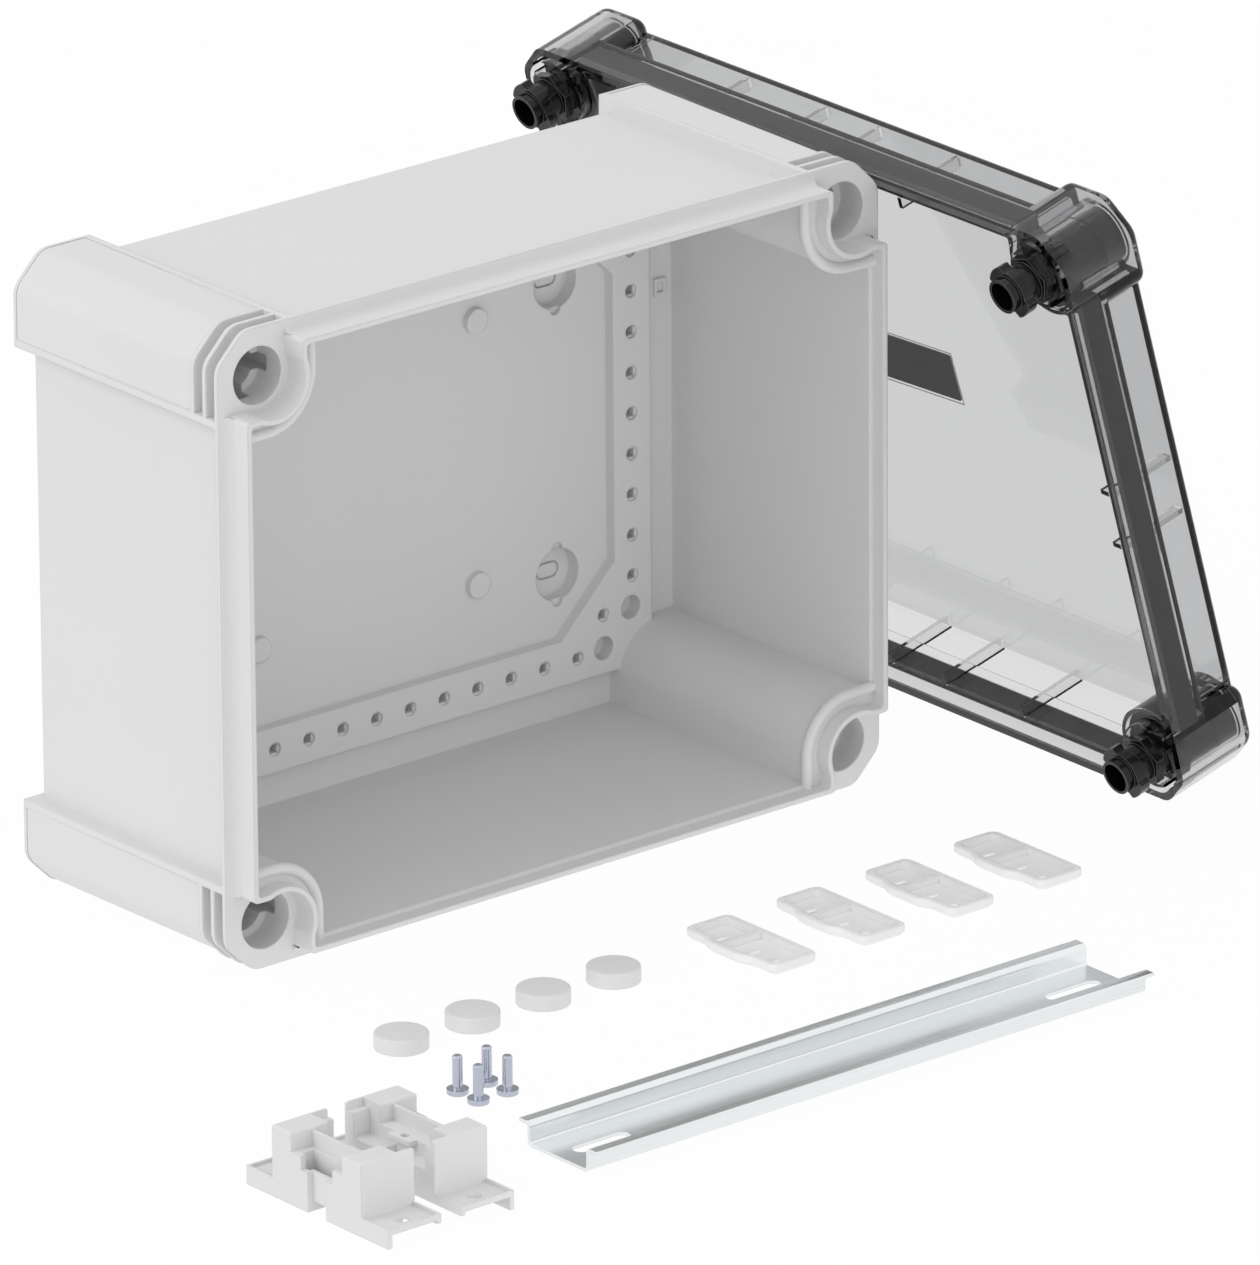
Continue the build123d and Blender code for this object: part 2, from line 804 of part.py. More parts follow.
def tab_cuts():
    """Screw holes, sunk pans and end arches of the two tabs."""
    cuts = []
    tab_l = support_l / 2 - tower_out
    room_w = support_w - 2 * tab_leg
    plate = tab_h - tab_lip
    for sy in (-1, 1):
        mid = sy * (tower_out + tab_l / 2)
        pan = Rectangle(support_w - 2 * tab_lip, tab_l - tab_lip)
        under = Rectangle(room_w, tab_l)
        shift = sy * tab_lip / 2
        cuts.append(slab(Pos(0, mid - shift) * pan, plate, tab_h + 1))
        cuts.append(slab(Pos(0, mid + sy * support_t) * under, -1, plate - tab_t))
        cuts.append(slab(Pos(0, mid) * Circle(tab_hole / 2), -1, tab_h + 1))
    return cuts


def make_support():
    """Rail support: stepped side walls, hollow towers, beam with fin and screw lug."""
    upright = Plane(origin=(-support_w / 2, 0, 0), x_dir=(0, 1, 0), z_dir=(1, 0, 0))
    body = extrude(upright * support_profile(), amount=support_w)
    body = fillet(body.edges().group_by(Axis.Z)[-1], support_round)
    body -= support_hollows()
    body -= open_side_cuts()
    body += [support_beam(), screw_lug(), gap_bridge()]
    body -= tab_cuts()
    hole = Pos(beam_edges()[0], 0) * Circle(lug_hole / 2)
    return body - slab(hole, step_high - beam_t - 1, support_h)


def lid_corner_names():
    """Name and rim position of each lid corner, near and far, low and high."""
    names = []
    for x, y in corners(socket_inset, socket_inset):
        depth = "front" if x < 0 else "back"
        level = "lower" if y < base_h / 2 else "upper"
        names.append((f"{level}_{depth}", x, y))
    return names


def all_nodes():
    """Every piece in its place in the layout, by name."""
    nodes = {
        "base_shell": make_base(),
        "clear_lid": make_lid(),
        "lid_seal": make_seal(),
        "blank_plate": make_plate(),
    }
    rim = lid_frame().location
    for name, x, y in lid_corner_names():
        nodes[f"lock_bush_{name}"] = rim * Pos(x, y, 0) * make_bush(*inward(x, y))
        nodes[f"turn_lock_{name}"] = rim * Pos(x, y, 0) * make_lock()
    for i in range(plug_count):
        nodes[f"cover_plug_{i + 1}"] = Pos(plug_x + i * plug_pitch, plug_y, 0) * make_plug()
    for i in range(bracket_count):
        at = Pos(bracket_x + i * bracket_pitch, bracket_y, 0)
        nodes[f"wall_bracket_{i + 1}"] = at * make_bracket()
    nodes["top_hat_rail"] = Pos(rail_x, rail_y, 0) * make_rail()
    for i, turn in enumerate((180, 0)):
        at = Pos(support_x + i * support_pitch, support_y, 0) * Rot(0, 0, turn)
        nodes[f"rail_support_{i + 1}"] = at * make_support()
    spots = [(sx * screw_dx / 2, sy * screw_dy / 2) for sx in (-1, 1) for sy in (1, -1)]
    for i, (dx, dy) in enumerate(spots):
        nodes[f"rail_screw_{i + 1}"] = Pos(screw_x + dx, screw_y + dy, 0) * make_screw()
    return nodes


def main():
    nodes = all_nodes()
    boxes = [node.bounding_box() for node in nodes.values()]
    mid_x = (min(b.min.X for b in boxes) + max(b.max.X for b in boxes)) / 2
    mid_y = (min(b.min.Y for b in boxes) + max(b.max.Y for b in boxes)) / 2
    os.makedirs("parts", exist_ok=True)
    print("layout moved by", round(-mid_x, 3), round(-mid_y, 3))
    for name, node in nodes.items():
        export_step(Pos(-mid_x, -mid_y, 0) * node, f"parts/{name}.step")


main()
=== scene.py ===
# %% [markdown]
# # A wall-mount enclosure, laid out open
#
# The product is a deep grey box with a clear, slightly smoked lid. It is shown taken apart: the base
# stands on a long side, the lid leans against it, and rail, rail supports, brackets, plugs and screws
# lie in front. The solids already have the right shape, so this lesson is about three things: soft
# moulded edges, finishes that hold up close to the camera, and light that lets clear plastic look
# clear.

# %% Load the solids
import json
import math

import bmesh
import bpy
from mathutils import Matrix, Vector

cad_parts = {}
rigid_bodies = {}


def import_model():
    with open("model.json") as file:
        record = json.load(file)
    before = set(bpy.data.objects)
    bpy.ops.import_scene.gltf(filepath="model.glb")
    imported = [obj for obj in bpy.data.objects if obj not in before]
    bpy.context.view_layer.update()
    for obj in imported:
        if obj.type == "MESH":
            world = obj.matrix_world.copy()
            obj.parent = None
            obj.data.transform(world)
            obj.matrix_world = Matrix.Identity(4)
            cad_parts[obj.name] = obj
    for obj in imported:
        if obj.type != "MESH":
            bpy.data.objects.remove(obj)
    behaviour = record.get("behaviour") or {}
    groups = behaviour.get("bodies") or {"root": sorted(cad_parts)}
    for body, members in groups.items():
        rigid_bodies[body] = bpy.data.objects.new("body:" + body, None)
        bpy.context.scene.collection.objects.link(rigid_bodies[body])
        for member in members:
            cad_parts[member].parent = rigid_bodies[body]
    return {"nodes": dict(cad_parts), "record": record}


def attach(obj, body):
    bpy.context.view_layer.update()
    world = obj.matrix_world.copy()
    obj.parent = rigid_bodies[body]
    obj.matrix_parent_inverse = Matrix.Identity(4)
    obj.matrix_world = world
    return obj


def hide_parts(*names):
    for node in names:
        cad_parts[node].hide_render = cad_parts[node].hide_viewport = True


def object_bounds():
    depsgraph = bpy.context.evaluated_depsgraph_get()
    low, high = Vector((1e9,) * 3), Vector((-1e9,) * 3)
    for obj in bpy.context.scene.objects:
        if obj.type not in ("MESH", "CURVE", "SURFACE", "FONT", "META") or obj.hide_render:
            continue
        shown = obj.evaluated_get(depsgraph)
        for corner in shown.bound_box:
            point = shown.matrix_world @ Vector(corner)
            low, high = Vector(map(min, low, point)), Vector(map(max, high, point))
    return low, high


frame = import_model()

cad_low, cad_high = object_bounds()
scene = bpy.context.scene
MM = 0.001
ROOT = "open_set"

# %% [markdown]
# ## Camera
#
# The photograph is a long-lens product picture: parallel edges stay almost parallel. So the camera
# stands about five metres away and has a very long focal length. The view comes from the straight
# edges of base and rail, which give the direction, the height and a very small roll.

# %% Camera
PHOTO_SIZE = (1260, 1265)
FOCAL_PIXELS = 17059.0
VIEW_AZIMUTH = math.radians(-39.616)
VIEW_ELEVATION = math.radians(20.622)
VIEW_ROLL = math.radians(-0.41)
CAMERA_PLACE = Vector((-2.971035, -3.6208, 1.8442))
SENSOR_WIDTH = 36.0
VIEW_END = 50.0


def view_direction(azimuth, elevation):
    """Unit vector from the camera into the picture."""
    level = math.cos(elevation)
    return Vector((-math.sin(azimuth) * level, math.cos(azimuth) * level, -math.sin(elevation)))


camera_data = bpy.data.cameras.new("camera")
camera_data.sensor_width = SENSOR_WIDTH
camera_data.lens = FOCAL_PIXELS * SENSOR_WIDTH / max(PHOTO_SIZE)
camera_data.clip_end = VIEW_END
camera = bpy.data.objects.new("camera", camera_data)
scene.collection.objects.link(camera)
aim = view_direction(VIEW_AZIMUTH, VIEW_ELEVATION).to_track_quat("-Z", "Y").to_matrix().to_4x4()
camera.matrix_world = Matrix.Translation(CAMERA_PLACE) @ aim @ Matrix.Rotation(VIEW_ROLL, 4, "Z")
scene.camera = camera
scene.view_settings.view_transform = "Standard"
print("lens", round(camera_data.lens, 1), "mm")

# %% [markdown]
# ## Shader maths as plain Python
#
# A finish is a small sum: a base colour, plus a little cloudiness, minus some wear. Writing that sum
# with nodes by hand hides it, so one small class wraps a socket and lets the operators build the Math
# nodes. The reflected forms make `1 - mask` work. A second class makes every other node from its
# type, its settings and its inputs.

# %% Sockets that can be added and multiplied
BEVEL_SAMPLES = 6
EDGE_GAIN = 9
CAMERA_RAY, SHADOW_RAY, GLOSSY_RAY, TRANSMISSION_RAY = 0, 1, 3, 5
OBJECT_PLACE = 3
FACE_NORMAL = 1
DOT_RESULT = 1
COLOUR_RESULT = 2


class Wire:
    """One socket of a node tree, with the arithmetic that the finishes use."""

    def __init__(self, tree, socket):
        self.tree = tree
        self.socket = socket

    def math(self, operation, first, second):
        node = self.tree.nodes.new("ShaderNodeMath")
        node.operation = operation
        for slot, value in zip(node.inputs, (first, second)):
            if isinstance(value, Wire):
                self.tree.links.new(value.socket, slot)
            else:
                slot.default_value = value
        return Wire(self.tree, node.outputs[0])

    def __add__(self, other):
        return self.math("ADD", self, other)

    def __radd__(self, other):
        return self.math("ADD", other, self)

    def __sub__(self, other):
        return self.math("SUBTRACT", self, other)

    def __rsub__(self, other):
        return self.math("SUBTRACT", other, self)

    def __mul__(self, other):
        return self.math("MULTIPLY", self, other)

    def __rmul__(self, other):
        return self.math("MULTIPLY", other, self)

    def limited(self):
        """The same value kept between 0 and 1."""
        result = self.math("ADD", self, 0.0)
        result.socket.node.use_clamp = True
        return result


class Finish:
    """A material, with short methods for the nodes that the finishes use."""

    def __init__(self, name, colour):
        self.material = bpy.data.materials.new(name)
        self.material.use_nodes = True
        self.material.diffuse_color = (*colour, 1.0)
        self.tree = self.material.node_tree
        self.tree.nodes.clear()
        self.out = self.tree.nodes.new("ShaderNodeOutputMaterial")

    def node(self, kind, settings=None, output=0, **inputs):
        made = self.tree.nodes.new(kind)
        for key, value in (settings or {}).items():
            setattr(made, key, value)
        for key, value in inputs.items():
            self.feed(made.inputs[self.socket_number(made, key)], value)
        return Wire(self.tree, made.outputs[output])

    @staticmethod
    def socket_number(made, key):
        """Number of the input called key, where an underscore stands for a space, or the number after in_."""
        if key.startswith("in_"):
            return int(key.removeprefix("in_"))
        wanted = key.replace("_", " ").lower()
        return next(i for i, slot in enumerate(made.inputs) if slot.name.lower() == wanted and slot.enabled)

    def feed(self, slot, value):
        if isinstance(value, Wire):
            self.tree.links.new(value.socket, slot)
        else:
            slot.default_value = value

    def place(self, scale):
        """Object coordinates in metres, times one scale for each axis."""
        spot = self.node("ShaderNodeTexCoord", output=OBJECT_PLACE)
        return self.node("ShaderNodeMapping", in_0=spot, Scale=scale)

    def cloud(self, lumps, detail=3.0, roughness=0.55, stretch=(1, 1, 1)):
        """Soft noise with about that many lumps a metre."""
        spot = self.place(tuple(lumps * part for part in stretch))
        return self.node("ShaderNodeTexNoise", Vector=spot, Scale=1.0, Detail=detail, Roughness=roughness)

    def tint(self, mask, low, high):
        """Colour that runs from low to high with the mask; either may be a wire."""
        first, last = (part if isinstance(part, Wire) else (*part, 1) for part in (low, high))
        kind = {"data_type": "RGBA"}
        return self.node("ShaderNodeMix", kind, output=COLOUR_RESULT, in_0=mask, in_6=first, in_7=last)

    def dot(self, first, second):
        kind = {"operation": "DOT_PRODUCT"}
        return self.node("ShaderNodeVectorMath", kind, output=DOT_RESULT, in_0=first, in_1=second)

    def face_normal(self):
        return self.node("ShaderNodeNewGeometry", output=FACE_NORMAL)

    def soft_edge(self, radius, samples=BEVEL_SAMPLES):
        """Normal that is rounded near each edge."""
        return self.node("ShaderNodeBevel", {"samples": samples}, Radius=radius)

    def edge_mask(self, rounded):
        """1 along an edge and 0 on a flat face, from how far the rounded normal turns."""
        return ((1 - self.dot(rounded, self.face_normal())) * EDGE_GAIN).limited()

    def ray(self, kind):
        """1 where the ray is of that kind."""
        return self.node("ShaderNodeLightPath", output=kind)

    def show(self, surface, volume=None):
        self.tree.links.new(surface.socket, self.out.inputs["Surface"])
        if volume:
            self.tree.links.new(volume.socket, self.out.inputs["Volume"])
        return self.material


print("shader helpers ready")

# %% [markdown]
# ## Moulded grey plastic
#
# The base is a fibre-filled moulding with a fine spark-eroded grain: matt, a little uneven in gloss,
# and every edge has a small radius. Cutting hundreds of radii into the solid would be slow and
# fragile. The Bevel node gives the same soft edge highlight by rounding only the normal, and the
# bumps ride on top of it. Along each edge the base colour is also lightened: a painted highlight.

# %% Grey mouldings
FLOW_SHARE, MOTTLE_SHARE = 0.7, 0.3
FLOW_DARK = 0.965
# Painted edge highlight: how much lighter the edges are, the lightest they may get, and how much of it shows.
EDGE_HIGHLIGHT, LIGHTEST = 1.12, 0.92
EDGE_HIGHLIGHT_SHARE = 0.8
GRAIN, GRAIN_DEPTH = 0.35, 0.04 * MM
GLOSS_START, GLOSS_MOTTLE, EDGE_POLISH = -0.06, 0.14, 0.12
MOULD_SHINE = 0.42


def moulded(name, colour, edge_mm, gloss=0.5):
    """Matt moulded plastic: faint flow clouds, fine grain, soft and slightly polished edges, lightened by a
    painted highlight.
    """
    finish = Finish(name, colour)
    flow = finish.cloud(lumps=14, detail=2)
    mottle = finish.cloud(lumps=160, detail=4)
    grain = finish.cloud(lumps=2600, detail=2, roughness=0.6)
    rounded = finish.soft_edge(edge_mm * MM)
    edge = finish.edge_mask(rounded)
    dark = tuple(part * FLOW_DARK for part in colour)
    # Lighter edge colour: a painted highlight where the rounded edges would catch the light.
    light = tuple(min(part * EDGE_HIGHLIGHT, LIGHTEST) for part in colour)
    shade = finish.tint(flow * FLOW_SHARE + mottle * MOTTLE_SHARE, dark, colour)
    bumps = finish.node("ShaderNodeBump", Strength=GRAIN, Distance=GRAIN_DEPTH, Height=grain, Normal=rounded)
    surface = finish.node(
        "ShaderNodeBsdfPrincipled",
        Base_Color=finish.tint(edge * EDGE_HIGHLIGHT_SHARE, shade, light),
        Roughness=gloss + GLOSS_START + mottle * GLOSS_MOTTLE - edge * EDGE_POLISH,
        Normal=bumps,
        Specular_IOR_Level=MOULD_SHINE,
    )
    return finish.show(surface)


shell_grey = moulded("shell_grey", (0.745, 0.748, 0.745), edge_mm=0.9)
fitting_grey = moulded("fitting_grey", (0.755, 0.757, 0.753), edge_mm=0.6, gloss=0.46)
bracket_pale = moulded("bracket_pale", (0.9, 0.902, 0.898), edge_mm=0.5, gloss=0.46)
print("grey mouldings:", shell_grey.name, fitting_grey.name, bracket_pale.name)

# %% [markdown]
# ## Clear smoked plastic
#
# Clear plastic gets its look from three effects: it bends light, it mirrors a little at a low angle,
# and it swallows light along the way, so a thin wall is nearly clear while a wall seen along its
# length is dark. The last one is a Volume Absorption, which works on the true thickness. Direct light
# would stop at such a surface, so shadow rays see a tinted transparent surface in place of the
# bending one.

# %% Clear lid plastic
LEAN = math.radians(15.45)
LID_TINT = (0.5, 0.504, 0.51)
LID_DENSITY = 155.0
LID_IOR = 1.33
WALL_FILM = (0.985, 0.987, 0.99)
PANE_FILM = (0.772, 0.776, 0.782)
PANE_START, PANE_GAIN = 0.9, 12
# Painted shade along the edges of the clear plastic: its colour and how much of it shows.
EDGE_SHADE_DARK, EDGE_SHADE_SHARE = (0.22, 0.22, 0.22), 0.35
SHADOW_TINT = (0.84, 0.845, 0.85)
RIPPLE, RIPPLE_DEPTH = 0.06, 0.5 * MM
HAZE_START, HAZE_SPREAD = 0.015, 0.03


def clear_plastic(name):
    """Smoked clear plastic: a faint film on the flat pane, and painted shade as dark lines along the edges,
    where real clear plastic shows its dark surroundings.
    """
    finish = Finish(name, LID_TINT)
    ripple = finish.cloud(lumps=30, detail=1)
    haze = finish.cloud(lumps=700, detail=3, stretch=(1, 0.1, 1))
    edge = finish.edge_mask(finish.soft_edge(0.45 * MM))
    facing = finish.dot(finish.face_normal(), (math.cos(LEAN), 0, math.sin(LEAN)))
    pane = ((facing * facing - PANE_START) * PANE_GAIN).limited()
    film = finish.tint(pane, WALL_FILM, PANE_FILM)
    bumps = finish.node("ShaderNodeBump", Strength=RIPPLE, Distance=RIPPLE_DEPTH, Height=ripple)
    # The base colour darkens along every edge: painted shade in place of the dark surroundings that the edges
    # would show.
    glass = finish.node(
        "ShaderNodeBsdfPrincipled",
        Base_Color=finish.tint(edge * EDGE_SHADE_SHARE, film, EDGE_SHADE_DARK),
        Roughness=HAZE_START + haze * HAZE_SPREAD,
        Transmission_Weight=1.0,
        IOR=LID_IOR,
        Normal=bumps,
    )
    open_way = finish.node("ShaderNodeBsdfTransparent", Color=(*SHADOW_TINT, 1))
    surface = finish.node("ShaderNodeMixShader", in_0=finish.ray(SHADOW_RAY), in_1=glass, in_2=open_way)
    depth = finish.node("ShaderNodeVolumeAbsorption", Color=(*LID_TINT, 1), Density=LID_DENSITY)
    return finish.show(surface, depth)


lid_clear = clear_plastic("lid_clear")
print("clear plastic:", lid_clear.name)

# %% [markdown]
# ## Black parts and the seal
#
# The locks are glossy black, so what shows is the reflection of the lights along their rounded edges,
# with fine turning marks, and a painted highlight in the base colour lightens those edges too. The seal
# is foamed rubber: matt, dark grey, with small cells. The blank plate on the lid is a plain dark film.

# %% Black parts
MARKS, MARKS_DEPTH = 0.1, 0.02 * MM
HAZE_SHADE = 0.3
HAZE_GLOSS = 0.1
BLACK_SHINE = 0.3
CELLS_A_METRE = 2600.0
CELL_DARK, CELL_LIGHT = (0.09, 0.09, 0.091), (0.096, 0.096, 0.097)
CELL_BUMP, CELL_DEPTH = 0.04, 0.1 * MM
CELL_ROUGH, CELL_ROUGH_SPREAD = 0.8, 0.1


def glossy_black(name, level, gloss, edge_highlight):
    """Black plastic with fine turning marks, a thin haze and a painted highlight along the edges."""
    finish = Finish(name, (level,) * 3)
    marks = finish.cloud(lumps=1500, detail=3, stretch=(0.3, 1, 1))
    haze = finish.cloud(lumps=120, detail=3)
    rounded = finish.soft_edge(0.28 * MM)
    bumps = finish.node("ShaderNodeBump", Strength=MARKS, Distance=MARKS_DEPTH, Height=marks, Normal=rounded)
    shade = finish.tint(haze, (level * (1 - HAZE_SHADE),) * 3, (level * (1 + HAZE_SHADE),) * 3)
    # Base colour lightens along the edges: a painted highlight where the lamps would glint on the rounded
    # rims.
    surface = finish.node(
        "ShaderNodeBsdfPrincipled",
        Base_Color=finish.tint(finish.edge_mask(rounded), shade, (edge_highlight,) * 3),
        Roughness=gloss + haze * HAZE_GLOSS,
        Normal=bumps,
        Specular_IOR_Level=BLACK_SHINE,
    )
    return finish.show(surface)


def foam_rubber(name):
    """Matt rubber with small cells."""
    finish = Finish(name, CELL_DARK)
    cells = finish.node("ShaderNodeTexVoronoi", Vector=finish.place((CELLS_A_METRE,) * 3), Scale=1.0)
    bumps = finish.node("ShaderNodeBump", Strength=CELL_BUMP, Distance=CELL_DEPTH, Height=cells)
    surface = finish.node(
        "ShaderNodeBsdfPrincipled",
        Base_Color=finish.tint(cells, CELL_DARK, CELL_LIGHT),
        Roughness=CELL_ROUGH + cells * CELL_ROUGH_SPREAD,
        Normal=bumps,
    )
    return finish.show(surface)


# The last number is the lightness of the painted highlight along the edges.
lock_black = glossy_black("lock_black", level=0.005, gloss=0.1, edge_highlight=0.13)
bush_black = glossy_black("bush_black", level=0.005, gloss=0.18, edge_highlight=0.03)
plate_dark = glossy_black("plate_dark", level=0.012, gloss=0.5, edge_highlight=0.015)
seal_black = foam_rubber("seal_black")
print("dark finishes:", lock_black.name, bush_black.name, plate_dark.name, seal_black.name)

# %% [markdown]
# ## Zinc
#
# Rail and screws are bright zinc-plated steel. The strip is rolled before it is folded, so fine lines
# run along it, and the plating has a faint bloom in long streaks; the streaks also carry painted
# reflection bands along the rail. The screws have a bluer passivation.

# %% Zinc
LINES, LINES_DEPTH = 0.12, 0.01 * MM
# Streaks of bloom and painted reflection: their share of the colour and how dark they get.
BLOOM_AND_REFLECTION_SHARE, LINES_SHARE = 0.6, 0.4
BLOOM_AND_REFLECTION_DULL = 0.8
BLOOM_GLOSS = 0.08


def zinc(name, colour, along, gloss):
    """Plated steel with rolling lines and long streaks that are partly bloom and partly painted reflection;
    along squeezes the noise into lines.
    """
    finish = Finish(name, colour)
    lines = finish.cloud(lumps=1400, detail=3, stretch=along)
    # Long streaks along the rail darken the colour: partly the plating's bloom, partly painted reflection
    # bands.
    bloom_and_reflection = finish.cloud(lumps=70, detail=2, stretch=(0.12, 1, 1))
    streak_dark = tuple(part * BLOOM_AND_REFLECTION_DULL for part in colour)
    rounded = finish.soft_edge(0.3 * MM, samples=4)
    bumps = finish.node("ShaderNodeBump", Strength=LINES, Distance=LINES_DEPTH, Height=lines, Normal=rounded)
    surface = finish.node(
        "ShaderNodeBsdfPrincipled",
        Base_Color=finish.tint(bloom_and_reflection * BLOOM_AND_REFLECTION_SHARE + lines * LINES_SHARE, streak_dark, colour),
        Metallic=1.0,
        Roughness=gloss + bloom_and_reflection * BLOOM_GLOSS,
        Normal=bumps,
    )
    return finish.show(surface)


rail_zinc = zinc("rail_zinc", (0.93, 0.955, 0.965), along=(0.015, 1, 1), gloss=0.18)
screw_zinc = zinc("screw_zinc", (0.56, 0.59, 0.68), along=(1, 1, 0.1), gloss=0.16)
print("zinc:", rail_zinc.name, screw_zinc.name)

# %% [markdown]
# ## Dressing the solids
#
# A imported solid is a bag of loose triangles, so its round faces look faceted. Each piece is therefore
# a copy whose doubles are merged: then Blender can shade it smooth and keep only the real edges
# sharp. The copy replaces its solid, stays on it and takes the finish of its record slot; the
# brackets take a paler grey. Seal and bushes lie face to face with the clear lid. Two faces in one
# place would show as speckle, so the copies of those grow by a few hundredths of a millimetre into
# the plastic.

# %% Smooth copies of the solids
SMOOTH_ANGLE = math.radians(32)
MERGE_GAP = 0.002 * MM
FINISHES = {
    "shell_grey": shell_grey,
    "fitting_grey": fitting_grey,
    "lid_clear": lid_clear,
    "lock_black": lock_black,
    "bush_black": bush_black,
    "plate_dark": plate_dark,
    "seal_black": seal_black,
    "rail_zinc": rail_zinc,
    "screw_zinc": screw_zinc,
}
GROWN = ("seal_black", "bush_black")
GROWTH = 0.04 * MM
PALE_PIECES = "wall_bracket"
slot_of = {part["node"]: part["material_slot"] for part in frame["record"]["subparts"]}
body_of = {node: body for body, nodes in frame["record"]["behaviour"]["bodies"].items() for node in nodes}


def merged_mesh(node, name, growth):
    """Copy of a solid's mesh: doubles merged, real edges sharp, faces moved out by growth."""
    work = bmesh.new()
    work.from_mesh(frame["nodes"][node].data)
    bmesh.ops.remove_doubles(work, verts=work.verts, dist=MERGE_GAP)
    work.normal_update()
    for vert in work.verts:
        vert.co += vert.normal * growth
    mesh = bpy.data.meshes.new(name)
    work.to_mesh(mesh)
    work.free()
    if "custom_normal" in mesh.attributes:
        mesh.attributes.remove(mesh.attributes["custom_normal"])
    mesh.shade_smooth()
    mesh.set_sharp_from_angle(angle=SMOOTH_ANGLE)
    return mesh


def dress(node):
    """Piece that stands for one solid in its own finish."""
    name = node + ".dressed"
    mesh = merged_mesh(node, name, GROWTH if slot_of[node] in GROWN else 0.0)
    mesh.materials.clear()
    mesh.materials.append(bracket_pale if node.startswith(PALE_PIECES) else FINISHES[slot_of[node]])
    piece = bpy.data.objects.new(name, mesh)
    scene.collection.objects.link(piece)
    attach(piece, body_of[node])
    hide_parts(node)
    return piece


dressed = {node: dress(node) for node in sorted(frame["nodes"])}
triangles = sum(len(piece.data.polygons) for piece in dressed.values())
print("dressed", len(dressed), "solids,", triangles, "triangles")

# %% [markdown]
# ## Seal lips and the border of the blank plate
#
# Two small details follow a line. The seal has two fine lips along each straight side of its groove,
# and the blank plate has a thin pale border just outside its edge. Both are one small section carried
# along a curve, so Geometry Nodes make them: one tree for tubes along straight lines, copied to the
# four sides, and one for a rectangle. Realize Instances and Set Material end each tree, because only
# real faces are exported. Both are drawn flat in the lid's own plane, and the plane's matrix then
# puts the mesh in its place.

# %% A small builder for geometry trees


class Tree:
    """A geometry node tree with named size inputs and one method for its nodes."""

    def __init__(self, name, sizes):
        self.tree = bpy.data.node_groups.new(name, "GeometryNodeTree")
        self.tree.interface.new_socket("Geometry", in_out="OUTPUT", socket_type="NodeSocketGeometry")
        self.ids = {}
        for label, kind in sizes.items():
            made = self.tree.interface.new_socket(label, in_out="INPUT", socket_type=kind)
            self.ids[label] = made.identifier
        self.input = self.tree.nodes.new("NodeGroupInput")
        self.end = self.tree.nodes.new("NodeGroupOutput")

    def node(self, kind, **inputs):
        made = self.tree.nodes.new(kind)
        for key, value in inputs.items():
            slot = made.inputs[key.replace("_", " ")]
            if hasattr(value, "is_output"):
                self.tree.links.new(value, slot)
            else:
                slot.default_value = value
        return made.outputs[0]

    def size(self, label):
        return self.input.outputs[label]

    def join(self, parts):
        """All parts as one geometry."""
        made = self.tree.nodes.new("GeometryNodeJoinGeometry")
        for part in parts:
            self.tree.links.new(part, made.inputs[0])
        return made.outputs[0]

    def shift(self, length, factor):
        """Vector across both pairs of sides, length times factor long on each axis."""
        made = self.tree.nodes.new("ShaderNodeVectorMath")
        made.operation = "SCALE"
        made.inputs[0].default_value = (factor, factor, 0)
        self.tree.links.new(length, made.inputs["Scale"])
        return made.outputs[0]

    def finish(self, geometry, material):
        real = self.node("GeometryNodeRealizeInstances", Geometry=geometry)
        done = self.node("GeometryNodeSetMaterial", Geometry=real, Material=material)
        self.tree.links.new(done, self.end.inputs[0])

    def make(self, name, values):
        """Run the tree on an empty mesh and return the plain mesh object that it makes."""
        holder = bpy.data.objects.new(name, bpy.data.meshes.new(name + "_seed"))
        scene.collection.objects.link(holder)
        modifier = holder.modifiers.new("nodes", "NODES")
        modifier.node_group = self.tree
        for label, value in values.items():
            modifier[self.ids[label]] = value
        graph = bpy.context.evaluated_depsgraph_get()
        mesh = bpy.data.meshes.new_from_object(holder.evaluated_get(graph))
        holder.modifiers.remove(modifier)
        holder.data = mesh
        mesh.name = name
        return holder


# %% The plane of the lid
LID_FOOT = Vector((183.784, 53.8, 0.0)) * MM
BASE_W, BASE_H = 250.0 * MM, 198.0 * MM

lid_plane = Matrix(
    (
        (0, -math.sin(LEAN), math.cos(LEAN), LID_FOOT.x),
        (1, 0, 0, LID_FOOT.y),
        (0, math.cos(LEAN), math.sin(LEAN), LID_FOOT.z),
        (0, 0, 0, 1),
    )
)
print("lid foot", [round(part, 4) for part in LID_FOOT])

# %% Seal lips
TUBE_SIDES = 8
SEAL_INSET = 4.7 * MM
SEAL_FACE = 4.6 * MM
CORNER_REACH = 26.5 * MM
LIP_R = 0.32 * MM
LIP_APART = 1.2 * MM

lips = Tree("seal_lips", {"Lip radius": "NodeSocketFloat", "Lip distance": "NodeSocketFloat"})
section = lips.node("GeometryNodeCurvePrimitiveCircle", Resolution=TUBE_SIDES, Radius=lips.size("Lip radius"))
sides = []
for along, across, turn in ((BASE_W, BASE_H, 0), (BASE_H, BASE_W, math.pi / 2)):
    half = along / 2 - CORNER_REACH
    for side in (-1, 1):
        out = side * (across / 2 - SEAL_INSET)
        line = lips.node("GeometryNodeCurvePrimitiveLine", Start=(-half, out, 0), End=(half, out, 0))
        sides.append(lips.node("GeometryNodeTransform", Geometry=line, Rotation=(0, 0, turn)))
runs = lips.join(sides)
tube = lips.node("GeometryNodeCurveToMesh", Curve=runs, Profile_Curve=section, Fill_Caps=True)
pair = []
for side in (-0.5, 0.5):
    sideways = lips.shift(lips.size("Lip distance"), side)
    pair.append(lips.node("GeometryNodeTransform", Geometry=tube, Translation=sideways))
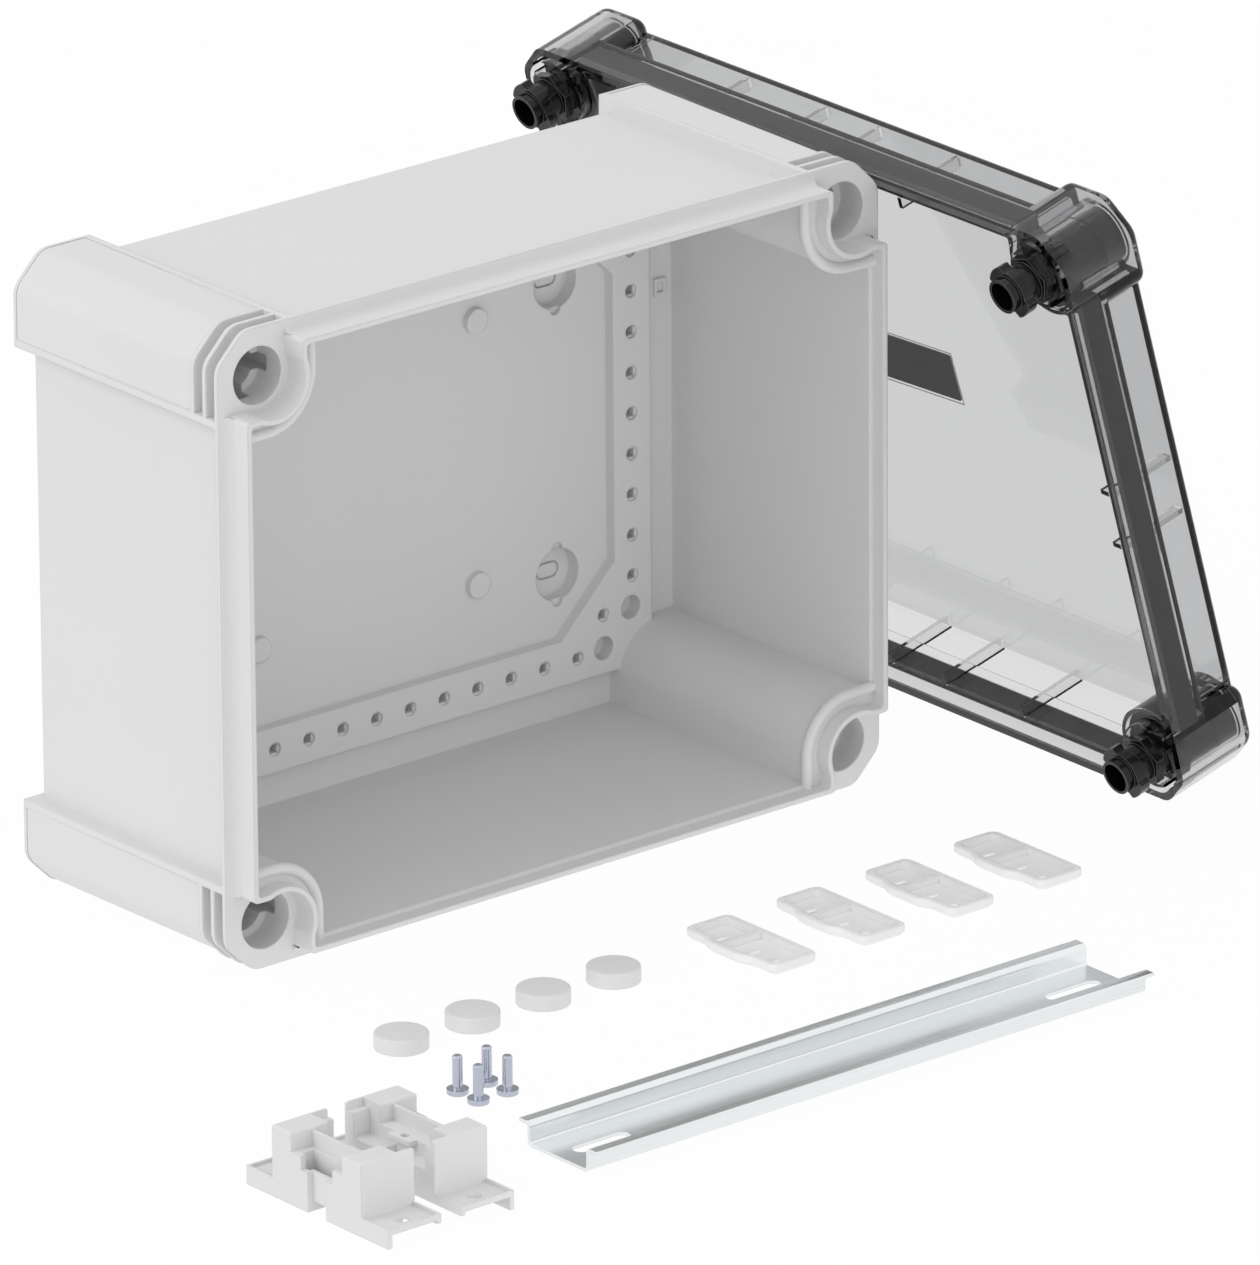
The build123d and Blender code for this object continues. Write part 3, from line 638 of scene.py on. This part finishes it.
lips.finish(lips.join(pair), seal_black)
lip_piece = lips.make("seal_lips", {"Lip radius": LIP_R, "Lip distance": LIP_APART})
lip_piece.data.transform(lid_plane @ Matrix.Translation((0, BASE_H / 2, SEAL_FACE)))
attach(lip_piece, ROOT)
print("seal lips:", len(lip_piece.data.polygons), "faces")

# %% Border of the blank plate
PLATE_SIZE = (47.0 * MM, 16.0 * MM)
PLATE_PLACE = (5.2 * MM, 103.4 * MM, 29.5 * MM)
PLATE_TURN = math.radians(-2.5)
BORDER_GAP = 0.9 * MM
BORDER_R = 0.22 * MM

border_pale = moulded("border_pale", (0.8, 0.8, 0.8), edge_mm=0.1)
BORDER_SIZES = {
    "Length": PLATE_SIZE[0] + 2 * BORDER_GAP,
    "Width": PLATE_SIZE[1] + 2 * BORDER_GAP,
    "Line radius": BORDER_R,
}
edging = Tree("plate_border", dict.fromkeys(BORDER_SIZES, "NodeSocketFloat"))
outline = edging.node(
    "GeometryNodeCurvePrimitiveQuadrilateral", Width=edging.size("Length"), Height=edging.size("Width")
)
section = edging.node(
    "GeometryNodeCurvePrimitiveCircle", Resolution=TUBE_SIDES, Radius=edging.size("Line radius")
)
line = edging.node("GeometryNodeCurveToMesh", Curve=outline, Profile_Curve=section)
edging.finish(line, border_pale)
border = edging.make("plate_border", BORDER_SIZES)
border.data.transform(lid_plane @ Matrix.Translation(PLATE_PLACE) @ Matrix.Rotation(PLATE_TURN, 4, "Z"))
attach(border, ROOT)
print("plate border:", len(border.data.polygons), "faces")

# %% [markdown]
# ## Ground and light
#
# The picture has a pure white ground with almost no shadow. The ground is a plain pale floor; towards
# the camera it adds its own white, so it stays white and still keeps a faint shadow. The world does
# the same. Soft light comes from all round, with one large soft lamp at the upper left as the key, so
# the left sides are the lightest and the box's inside falls off into grey. A second soft lamp above
# evens out the top faces, and a small low one in front lights the near sides of the fittings and
# draws highlights on the black locks.

# %% Floor
FLOOR_HALF = 12.0
FLOOR_WHITE = 0.97
FLOOR_COLOUR = (0.9, 0.9, 0.9)
PAPER_DARK, PAPER_LIGHT = (0.80, 0.80, 0.80), (0.82, 0.82, 0.82)


def floor_material():
    """Pale diffuse floor that the camera, mirrors and clear plastic see as nearly pure white."""
    finish = Finish("floor_white", FLOOR_COLOUR)
    mottle = finish.cloud(lumps=3, detail=2)
    paper = finish.node("ShaderNodeBsdfDiffuse", Color=finish.tint(mottle, PAPER_DARK, PAPER_LIGHT))
    glow = finish.node("ShaderNodeEmission", Color=(1, 1, 1, 1), Strength=1.0)
    seen = (finish.ray(CAMERA_RAY) + finish.ray(TRANSMISSION_RAY) + finish.ray(GLOSSY_RAY)).limited()
    return finish.show(finish.node("ShaderNodeMixShader", in_0=seen * FLOOR_WHITE, in_1=paper, in_2=glow))


floor_mesh = bpy.data.meshes.new("floor")
corners = [(x * FLOOR_HALF, y * FLOOR_HALF, cad_low[2]) for x, y in ((-1, -1), (1, -1), (1, 1), (-1, 1))]
floor_mesh.from_pydata(corners, [], [(0, 1, 2, 3)])
floor_mesh.materials.append(floor_material())
floor = bpy.data.objects.new("floor", floor_mesh)
scene.collection.objects.link(floor)
print("floor at", round(cad_low[2], 4))

# %% World and lamps
SKY_LEVEL = 0.76
WHITE_LEVEL = 1.0

world = bpy.data.worlds.new("soft_world")
scene.world = world
world.use_nodes = True
sky = world.node_tree
sky.nodes.clear()


def background(strength):
    """White light of that strength from everywhere."""
    made = sky.nodes.new("ShaderNodeBackground")
    made.inputs["Color"].default_value = (1, 1, 1, 1)
    made.inputs["Strength"].default_value = strength
    return made.outputs[0]


path = sky.nodes.new("ShaderNodeLightPath")
seen = Wire(sky, path.outputs["Is Camera Ray"]) + Wire(sky, path.outputs["Is Transmission Ray"])
seen = (seen + Wire(sky, path.outputs["Is Glossy Ray"])).limited()
mix = sky.nodes.new("ShaderNodeMixShader")
sky_out = sky.nodes.new("ShaderNodeOutputWorld")
for source, slot in zip((seen.socket, background(SKY_LEVEL), background(WHITE_LEVEL)), mix.inputs):
    sky.links.new(source, slot)
sky.links.new(mix.outputs[0], sky_out.inputs["Surface"])


def lamp(name, place, target, size, power):
    """Soft rectangular lamp that points at a target."""
    data = bpy.data.lights.new(name, "AREA")
    data.shape = "RECTANGLE"
    data.size, data.size_y = size
    data.energy = power
    lamp_object = bpy.data.objects.new(name, data)
    turn = (Vector(target) - Vector(place)).to_track_quat("-Z", "Y")
    lamp_object.matrix_world = Matrix.Translation(place) @ turn.to_matrix().to_4x4()
    scene.collection.objects.link(lamp_object)
    return lamp_object


middle = (cad_low + cad_high) / 2
fittings = Vector((-0.1, -0.15, 0.03))
key = lamp("key", place=(-1.8, 0.5, 1.3), target=middle, size=(1.2, 1.2), power=10.5)
top = lamp("top", place=(-0.1, 0.1, 2.2), target=middle, size=(1.4, 1.4), power=3.6)
near = lamp("near", place=(-0.15, -0.55, 0.1), target=fittings, size=(0.4, 0.14), power=0.27)
print("lamps:", key.name, top.name, near.name)
